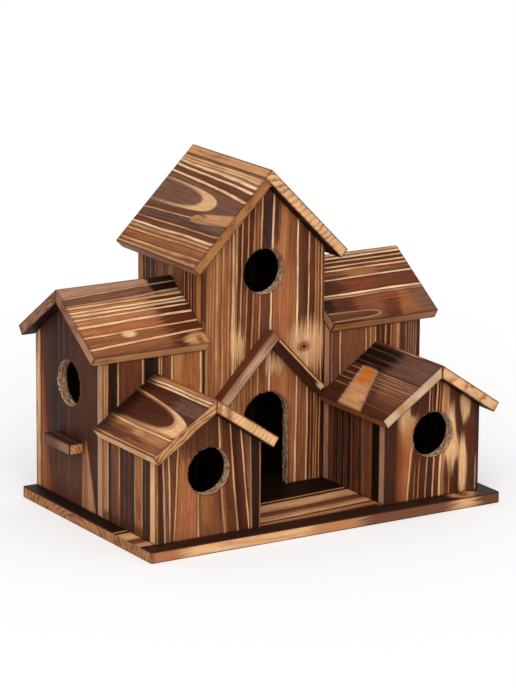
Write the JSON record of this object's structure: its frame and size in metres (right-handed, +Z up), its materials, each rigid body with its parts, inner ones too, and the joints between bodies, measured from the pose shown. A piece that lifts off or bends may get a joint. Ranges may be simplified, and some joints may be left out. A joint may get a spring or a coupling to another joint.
{
  "type": "nest box",
  "caption": "Wooden nest box shaped as a gabled tower with lower wings and small front houses on one base board, with round entrances, an arched doorway and perches.",
  "frame": {"origin": "centre of the base board's underside", "axes": "+X to the right seen from the front, +Y from the front to the back, +Z up"},
  "size_m": [0.341, 0.227, 0.286],
  "materials": {
    "base_wood": "torched and brushed softwood with a satin surface",
    "wall_wood": "torched and brushed softwood with a satin surface",
    "side_wood": "torched and brushed softwood with a satin surface",
    "roof_wood": "torched and brushed softwood with a satin surface",
    "stick_wood": "torched and brushed softwood with a satin surface",
    "perch_wood": "torched and brushed softwood with a satin surface"
  },
  "bodies": {
    "root": {"base_board": "base_wood", "tower_front_wall": "wall_wood", "tower_back_wall": "wall_wood", "tower_left_wall": "side_wood", "tower_right_wall": "side_wood", "tower_roof_left": "roof_wood", "tower_roof_right": "roof_wood", "door_canopy_left": "stick_wood", "door_canopy_right": "stick_wood", "left_wing_front_wall": "wall_wood", "left_wing_back_wall": "wall_wood", "left_wing_end_wall": "side_wood", "left_wing_roof_front": "roof_wood", "left_wing_roof_back": "roof_wood", "left_wing_perch": "perch_wood", "right_wing_front_wall": "wall_wood", "right_wing_back_wall": "wall_wood", "right_wing_end_wall": "side_wood", "right_wing_roof_front": "roof_wood", "right_wing_roof_back": "roof_wood", "right_wing_perch": "perch_wood", "left_house_front_wall": "wall_wood", "left_house_outer_wall": "side_wood", "left_house_inner_wall": "side_wood", "left_house_roof_left": "roof_wood", "left_house_roof_right": "roof_wood", "right_house_front_wall": "wall_wood", "right_house_outer_wall": "side_wood", "right_house_inner_wall": "side_wood", "right_house_roof_left": "roof_wood", "right_house_roof_right": "roof_wood"}
  },
  "joints": []
}
